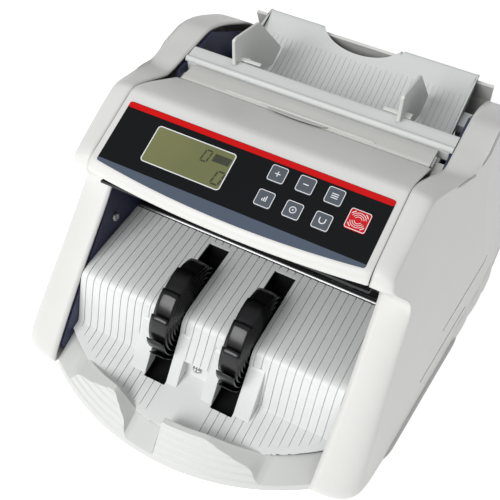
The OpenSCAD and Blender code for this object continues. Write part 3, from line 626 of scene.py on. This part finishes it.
slant = np.array([0.3, 0.6, 0.9, 1])[None, :]
top_r = outer_r[:, -1:] + (TOP_RADII[0] - outer_r[:, -1:]) * slant
top_z = ledge + (height - ledge) * slant
top_r = np.c_[top_r, np.full_like(height, TOP_RADII[1]), np.full_like(height, TOP_RADII[2])]
top_z = np.c_[top_z, height + 0.15, height + 0.05]
inner_z = height - 0.3 + (INNER_FOOT - height) * np.linspace(0, 1, 12)[None, :]
inner_r = np.full_like(inner_z, FENCE_INNER)
radius = np.concatenate([outer_r, top_r, inner_r], axis=1)
rise = np.concatenate([np.broadcast_to(level, outer_r.shape), top_z, inner_z], axis=1)
fence_y = TRAY_CENTRE - np.sqrt(radius ** 2 - fence_x[:, None] ** 2)
fence = new_piece("tray_fence", across_grid(fence_x, fence_y, rise), capped_faces(*radius.shape))
crisp(outward(fence), 22)
fence.data.materials.append(fence_white)
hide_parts("front_fence")

# ---- Stacker wheels -------------------------------------------------------------------
# Two moulded rubber wheels on the stacker shaft. Their thin blades trail behind the turn
# and drop each note on the tray.
rubber_black = moulded("rubber_black", (0.006, 0.006, 0.007), rough=0.3, grain=500, depth=0.03,
                       mottle=0.15, coat=0.2, shine=0.35)
AXLE_Y, AXLE_Z, BLADES = -15.0, 46.0, 12
BLADE_ROOT, BLADE_RISE, BLADE_SWEEP = 9.6, 25.6, np.radians(225)
BLADE_HALF, BLADE_THICK = 7, 0.65


def turned_piece(name, x, profile, axle, count, body):
    """A closed profile of reach across and radius, turned about an axle that runs across."""
    ring = np.linspace(0, 2 * np.pi, count + 1)[:-1]
    profile = np.array(profile)
    pts = np.stack(np.broadcast_arrays(x + profile[:, :1], axle[0] + profile[:, 1:] * np.cos(ring),
                                       axle[1] + profile[:, 1:] * np.sin(ring)), axis=-1)
    return eased(outward(new_piece(name, pts, grid_faces(len(profile), count, True, True), body)), 0.3)


run = np.linspace(0, 1, 33)
blade_r = BLADE_ROOT + BLADE_RISE * run
blade_a = -BLADE_SWEEP * run
start = np.arange(BLADES) * 2 * np.pi / BLADES
wide = np.linspace(-1, 1, 7)
hub = [[-7.2, 3.1], [-7.2, 6.5], [-6.2, 7], [-5.8, 10.6], [5.8, 10.6], [6.2, 7], [7.2, 6.5], [7.2, 3.1]]
angle = start[:, None, None] + blade_a[None, :, None] + 0.012 * np.abs(wide)[None, None, :]
reach_r = blade_r[None, :, None] - 0.5 * (np.abs(wide)[None, None, :] ** 4) * run[None, :, None]
for side in (-1, 1):
    x = side * SLOT_X + BLADE_HALF * wide[None, None, :] * (1 - 0.08 * run[None, :, None] ** 6)
    x, a, r = np.broadcast_arrays(x, angle, reach_r)
    pts = np.stack([x, AXLE_Y + r * np.cos(a), AXLE_Z + r * np.sin(a)], axis=-1)
    one = grid_faces(len(run), len(wide))
    faces = (one[None] + (np.arange(BLADES) * len(run) * len(wide))[:, None, None]).reshape(-1, 4)
    blades = new_piece(f"wheel_blades_{side + 1}", pts, faces, "stacker")
    walled(blades, BLADE_THICK, offset=0)
    blades.data.materials.append(rubber_black)
    core = turned_piece(f"wheel_hub_{side + 1}", side * SLOT_X, hub, (AXLE_Y, AXLE_Z), 48, "stacker")
    core.data.materials.append(rubber_black)
    if side == 1:
        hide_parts("stacker_wheels")

# ---- Hopper -----------------------------------------------------------------------------
# The shelf behind the handle, the curved chute that the notes lean on, with a thumb
# scoop in its rear edge, and the two guides that slide on the rail to suit the notes.
hopper_grey = moulded("hopper_grey", (0.7, 0.715, 0.7), rough=0.38, grain=700, depth=0.06, mottle=0.02)
shelf_line = [[121.6, 130.5], [121.6, 132], [122.6, 133.8], [124.2, 134.2], [125.6, 133.5],
              [126.4, 133.1], [134.6, 133.6], [136.6, 133.2], [137.2, 131.8], [137.2, 130.5]]
shelf = prism_piece("hopper_shelf", shelf_line, -98.8, 98.8, hopper_grey, edge=0.3, rounds=1)
wall_line = [[121.5, 124], [121.5, 130.6], [137, 130.6], [137, 116], [134.5, 116], [134.5, 124]]
fall_wall = prism_piece("hopper_front_wall", wall_line, -97, 97, hopper_grey, edge=0.4)
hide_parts("hopper_wall")

SLIT_SHAPE = 0.15, 0.28, 0.7  # the fine grooves in the chute: half widths and depth
slits = np.arange(-84, 85, 4.2)
chute = softened([[236.3, 103.6], [236, 106.4], [234, 107.8], [231.4, 107.4], [225, 102.6], [213, 95.2],
                  [200, 89.6], [186, 85.4], [170, 82.4], [152, 80.4]], 2)
chute = along(chute, [150.0], 70)
chute_x = groove_rows(86.3, slits, *SLIT_SHAPE[:2], [-35, -9, 9, 35])
# The rear edge is drawn in along the curve by the scoop, and the rest is stretched to suit.
SCOOP_X, SCOOP_HALF, SCOOP_DEEP = -6.5, 33.5, 19
scoop = SCOOP_DEEP * np.sqrt(np.clip(1 - ((chute_x - SCOOP_X) / SCOOP_HALF) ** 2, 0, 1))[:, None]
length = np.r_[0, np.cumsum(np.linalg.norm(np.diff(chute, axis=0), axis=1))]
s_at = scoop + (length[-1] - scoop) * (length / length[-1])[None, :]
chute_y, chute_z = np.interp(s_at, length, chute[:, 0]), np.interp(s_at, length, chute[:, 1])
chute_z = chute_z - grooved(chute_x, slits, *SLIT_SHAPE)[:, None] * (s_at > 24)
ROLLER_X, ROLLER_HALF, ROLLER_REAR = 22, 13, 164  # openings for the pick-up rollers
at_roller = np.abs(np.abs((chute_x[1:] + chute_x[:-1]) / 2) - ROLLER_X) < ROLLER_HALF
keep = ~(at_roller[:, None] & (chute[1:, 0] < ROLLER_REAR)[None, :])
tray = new_piece("hopper_chute", across_grid(chute_x, chute_y, chute_z),
                 grid_faces(len(chute_x), len(chute), keep=keep))
crisp(walled(outward(tray), TRAY_WALL))
tray.data.materials.append(hopper_grey)
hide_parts("hopper_tray")
chute_side = [[231.4, 107.5], [235, 107], [213, 104.5], [172, 91], [152, 84], [152, 79], [170, 81],
              [200, 88], [225, 101]]
foot_line = [[196, 83], [196, 89.4], [212, 89.4], [212, 83]]
for side in (-1, 1):
    x0, x1 = sorted((side * 85.2, side * 86.7))
    cheek = prism_piece(f"chute_side_{side + 1}", chute_side, x0, x1, hopper_grey, edge=0.3)
    x0, x1 = sorted((side * 86.5, side * 97.2))
    foot = prism_piece(f"chute_foot_{side + 1}", foot_line, x0, x1, hopper_grey)

guide_white = moulded("guide_white", (0.76, 0.765, 0.74), rough=0.4, grain=800, depth=0.08)
RAIL_Y, RAIL_Z = 141.5, 123
GUIDE_HALF, RIB_HALF, SHOE_HALF = 1, 1.3, 6
blade_line = [[139.2, 131], [139.2, 134.6], [130, 134.6], [129.8, 154], [131, 155.4], [134, 155.2],
              [166, 146.6], [168.5, 144.6], [204.5, 100], [204.6, 97.6], [191.5, 91.6], [189, 91.8],
              [152, 106]]
rib_line = [[129.6, 134.4], [129.6, 154.6], [131.6, 155.2], [131.8, 134.4]]
shoe_line = [[138.4, 124], [138.4, 131.6], [139.2, 132.4], [143.6, 132.4], [144.4, 131.4], [144.4, 124]]
foot_line = [[136.6, 134.1], [136.6, 135], [139.4, 135], [139.4, 134.1]]
tube = [[-6, 2.56], [-6, 4.3], [6, 4.3], [6, 2.56]]
for name, x in (("left_guide", -64.0), ("right_guide", 58.0)):
    body = name + "_body"
    guide = prism_piece(name + "_plate", blade_line, x - GUIDE_HALF, x + GUIDE_HALF,
                        guide_white, body, edge=0.5)
    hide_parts(name)
    edge_rib = prism_piece(name + "_rib", rib_line, x - RIB_HALF, x + RIB_HALF,
                           guide_white, body, edge=0.6)
    shoe = prism_piece(name + "_shoe", shoe_line, x - SHOE_HALF, x + SHOE_HALF,
                       guide_white, body, edge=0.5)
    x0, x1 = (x, x + 17) if x < 0 else (x - 13, x)
    foot = prism_piece(name + "_foot", foot_line, x0, x1, guide_white, body, edge=0.3)
    boss = turned_piece(name + "_boss", x, tube, (RAIL_Y, RAIL_Z), 32, body)
    boss.data.materials.append(guide_white)

# ---- Handle ---------------------------------------------------------------------------
# A beige grey plate across the machine with a thumb lip in the middle, and along its front
# edge a near-white strip that is a painted highlight, where that edge catches the light.
# It lifts on two legs that run in brackets on the inner plates.
handle_beige = moulded("handle_beige", (0.66, 0.655, 0.625), rough=0.4, grain=800, depth=0.07, mottle=0.02)
THUMB_X, THUMB_HALF = -2, 22  # the thumb lip's middle and half its length
SWELL, DIP = 2.6, 1.1  # how far the plate's front edge comes forward and down there
LIP_REACH, LIP_SLOPE = 6.6, 0.62


def thumb_arch(x):
    """A round arch over the thumb lip: one at its middle, nought at its ends and beyond."""
    return np.sqrt(np.clip(1 - ((x - THUMB_X) / THUMB_HALF) ** 2, 0, 1))


bar_x = np.unique(np.r_[np.linspace(-90, 90, 61), np.linspace(-25, 21, 40), -89.6, 89.6])
arch = thumb_arch(bar_x)[:, None] ** 1.6
loop = np.array([[103.2, 129.4], [102.2, 130.2], [101.9, 132.2], [102.4, 133.3], [103.6, 133.8],
                 [105.4, 133.7], [112, 133.2], [118.6, 132.6], [119.5, 132], [119.6, 129.6],
                 [118.5, 129.3]])
lead = np.array([1.0, 1, 1, 1, 1, 0.6, 0, 0, 0, 0, 0])
dip = np.array([0, 0.2, 0.8, 1, 1, 0.9, 0.2, 0, 0, 0, 0])
grip_pts = across_grid(bar_x, loop[:, 0] - SWELL * arch * lead, loop[:, 1] - DIP * arch * dip)
grip = outward(new_piece("handle_plate", grip_pts, capped_faces(len(bar_x), len(loop)), "handle_body"))
crisp(grip, 50)
grip.data.materials.append(handle_beige)
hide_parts("handle")
lip_x = np.linspace(THUMB_X - THUMB_HALF, THUMB_X + THUMB_HALF, 45)
lip_reach = LIP_REACH * thumb_arch(lip_x)
lip_top = 134.1 + LIP_SLOPE * lip_reach
lip_back = np.full(len(lip_x), 103.4)
lip_y = np.c_[lip_back, 103.2 - lip_reach, 103.3 - lip_reach, lip_back]
lip_z = np.c_[np.full(len(lip_x), 133.2), lip_top, lip_top + 0.5, np.full(len(lip_x), 134.6)]
lip_faces = grid_faces(*lip_y.shape, wrap_cols=True)
lip = outward(new_piece("handle_thumb_lip", across_grid(lip_x, lip_y, lip_z), lip_faces, "handle_body"))
crisp(lip, 40).data.materials.append(handle_beige)
# Painted highlight: a thin near-white strip over the handle's front edge, standing in for the light that
# the edge catches; it tapers to nothing at both ends.
painted_highlight_white = moulded("painted_highlight_white", (0.85, 0.85, 0.82), rough=0.35, grain=900, depth=0.05, mottle=0.02)
HIGHLIGHT_HALF, HIGHLIGHT_THICK = 54.5, 0.55  # half its length, and half its width in the middle
highlight_x = np.linspace(-56, 52, 41)
highlight_half = HIGHLIGHT_THICK * np.clip(1 - ((highlight_x - THUMB_X) / HIGHLIGHT_HALF) ** 2, 0.02, 1) ** 0.5
highlight_y = 103.9 + highlight_half[:, None] * [-1, -1, 1, 1]
highlight_pts = across_grid(highlight_x, highlight_y, np.array([133.2, 135.1, 135.1, 133.2]))
highlight_faces = grid_faces(*highlight_y.shape, wrap_cols=True)
line = outward(new_piece("handle_painted_highlight", highlight_pts, highlight_faces, "handle_body", smooth=False))
line.data.materials.append(painted_highlight_white)
leg_line = [[105, 88], [105, 131], [115, 131], [115, 88]]
for side in (-1, 1):
    x0, x1 = sorted((side * 88.6, side * 91.4))
    leg = prism_piece(f"handle_leg_{side + 1}", leg_line, x0, x1, handle_beige, "handle_body", edge=0.4)

# ---- Inner side plates ------------------------------------------------------------------
# Folded steel sheet with a navy powder coat. They carry every shaft, rod and bracket; the
# shafts are ground steel, the tie rods darker, and the small plates and screws zinc plated.
def dress(material, *names):
    """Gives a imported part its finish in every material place."""
    for name in names:
        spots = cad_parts[name].data.materials
        if len(spots) == 0:
            spots.append(material)
        for k in range(len(spots)):
            spots[k] = material


def metal(name, colour, rough=0.3, stretch=(400, 8, 8), lines=0.08, metallic=1.0):
    """Bare or plated metal: fine drawn lines along one direction and a slight cloud of tarnish."""
    m = bpy.data.materials.new(name)
    m.use_nodes = True
    n, link = m.node_tree.nodes, m.node_tree.links.new
    skin = n["Principled BSDF"]
    skin.inputs["Metallic"].default_value = metallic
    where = n.new("ShaderNodeTexCoord")
    drawn = n.new("ShaderNodeMapping")
    drawn.inputs["Scale"].default_value = stretch
    link(where.outputs["Object"], drawn.inputs["Vector"])
    grain = n.new("ShaderNodeTexNoise")
    grain.inputs["Scale"].default_value = 6
    grain.inputs["Detail"].default_value = 5
    link(drawn.outputs["Vector"], grain.inputs["Vector"])
    tone = n.new("ShaderNodeValToRGB")
    tone.color_ramp.elements[0].color = (*[c * (1 - lines * 2) for c in colour], 1)
    tone.color_ramp.elements[1].color = (*[min(1, c * (1 + lines)) for c in colour], 1)
    link(grain.outputs["Fac"], tone.inputs["Fac"])
    link(tone.outputs["Color"], skin.inputs["Base Color"])
    gloss = n.new("ShaderNodeMapRange")
    gloss.inputs["To Min"].default_value = max(rough - 0.08, 0.05)
    gloss.inputs["To Max"].default_value = rough + 0.12
    link(grain.outputs["Fac"], gloss.inputs["Value"])
    link(gloss.outputs["Result"], skin.inputs["Roughness"])
    bump = n.new("ShaderNodeBump")
    bump.inputs["Strength"].default_value = 0.08
    bump.inputs["Distance"].default_value = 0.0003
    link(grain.outputs["Fac"], bump.inputs["Height"])
    link(bump.outputs["Normal"], skin.inputs["Normal"])
    return m


navy_coat = moulded("navy_powder_coat", (0.028, 0.032, 0.085), rough=0.5, grain=1500, depth=0.2,
                    mottle=0.08)
ground_steel = metal("ground_steel", (0.62, 0.62, 0.62), rough=0.25, stretch=(10, 300, 300))
zinc_plate = metal("zinc_plate", (0.55, 0.56, 0.57), rough=0.35, stretch=(30, 30, 30))
bronze = metal("sintered_bronze", (0.6, 0.42, 0.2), rough=0.45, stretch=(60, 60, 60), lines=0.12)
dress(navy_coat, "left_plate", "right_plate")
dress(bronze, "bushes")
dress(zinc_plate, "plate_screws", "retard_bracket", "lower_guide")
dark_rod = metal("dark_rod", (0.24, 0.24, 0.245), rough=0.3, stretch=(10, 300, 300))
dress(dark_rod, "tie_rods")
dress(ground_steel, "stacker_shaft", "feed_shaft", "pickup_shaft", "guide_rail", "motor_rotor")

# ---- Screws -----------------------------------------------------------------------------
# Zinc plated pan heads with a cross recess, in the inner plates, the pocket of the stack
# plate and the rear cover.
ring = np.linspace(0, 2 * np.pi, 41)[:-1]
head = np.array([[3.3, 0], [3.3, 0.8], [2.9, 1.5], [2.2, 1.95], [1.3, 2.15], [0.0, 2.2]])
RECESS = 0.9  # depth of the cross
cross = RECESS * np.clip(1 - np.abs(np.mod(ring + np.pi / 4, np.pi / 2) - np.pi / 4) / 0.3, 0, 1)


def screw_head(name, place, axis):
    """A domed disc about its axis, sunk along two crossed lines near its middle."""
    radii = head[:, :1]
    r = radii * np.ones(len(ring))
    h = head[:, 1:] - cross * (radii < 2.4) * (radii > 0.2)
    h[-1] = head[-1, 1] - RECESS
    u = np.asarray(axis, float)
    v = np.cross(u, [0, 0, 1.0]) if abs(u[2]) < 0.9 else np.array([1.0, 0, 0])
    v /= np.linalg.norm(v)
    w = np.cross(u, v)
    spokes = np.cos(ring)[None, :, None] * v + np.sin(ring)[None, :, None] * w
    pts = np.asarray(place) + r[..., None] * spokes + h[..., None] * u
    screw = outward(new_piece(name, pts, grid_faces(len(head), len(ring), wrap_cols=True)))
    screw.data.materials.append(zinc_plate)
    return screw


screws = [screw_head(f"plate_screw_{side + 1}", (side * 97.2, 16.5, 70.6), (-side, 0, 0))
          for side in (-1, 1)]
screws.append(screw_head("pocket_screw", (-1.0, -39.6, 25.0), (0, -0.95, 0.31)))
screws += [screw_head(f"rear_screw_{k}", (x, 242, z), (0, 1, 0)) for k, (x, z) in
           enumerate(((-92, 14), (-92, 74), (92, 14), (92, 74)))]
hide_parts("cover_screws")

# ---- Rollers, belts and note guides -------------------------------------------------------
# Black rubber tyres for feed and pick-up, a tan friction roller, white pulleys, flat black
# belts, and the dark plates that lead the notes to the wheels.
tyre_rubber = moulded("tyre_rubber", (0.025, 0.025, 0.027), rough=0.62, grain=420, depth=0.35, mottle=0.2)
friction_tan = moulded("friction_tan", (0.42, 0.3, 0.18), rough=0.7, grain=380, depth=0.35, mottle=0.12)
dark_moulding = moulded("dark_moulding", (0.02, 0.02, 0.022), rough=0.45, grain=700, depth=0.12,
                        mottle=0.15)
nylon_white = moulded("nylon_white", (0.74, 0.74, 0.7), rough=0.35, grain=600, depth=0.05)
dress(tyre_rubber, "feed_rollers", "pickup_rollers", "drive_belts", "rubber_feet")
dress(friction_tan, "retard_roller")
dress(nylon_white, "feed_pulleys", "pickup_pulley", "stacker_pulley", "handle_brackets")
dress(dark_moulding, "upper_guide", "sensor_bar", "base_pan", "key_switches", "mains_inlet", "switch_body")

# ---- Motor, boards and rear ---------------------------------------------------------------
# Painted motor can, laminated transformer, green boards, and the rear cover with its
# mains inlet, red rocker and air slots.
motor_paint = metal("motor_paint", (0.09, 0.09, 0.1), rough=0.45, stretch=(40, 40, 40), metallic=0.6)
laminations = metal("laminations", (0.2, 0.17, 0.15), rough=0.5, stretch=(4, 4, 900),
                    metallic=0.8, lines=0.2)
board_green = moulded("board_green", (0.015, 0.12, 0.05), rough=0.3, grain=300, depth=0.1,
                      mottle=0.25, coat=0.3)
rocker_red = moulded("rocker_red", (0.5, 0.02, 0.015), rough=0.3, grain=900, depth=0.04, coat=0.3)
dress(motor_paint, "motor")
dress(laminations, "transformer")
dress(board_green, "main_board", "key_board")
dress(rocker_red, "power_rocker")
dress(housing, "rear_cover")
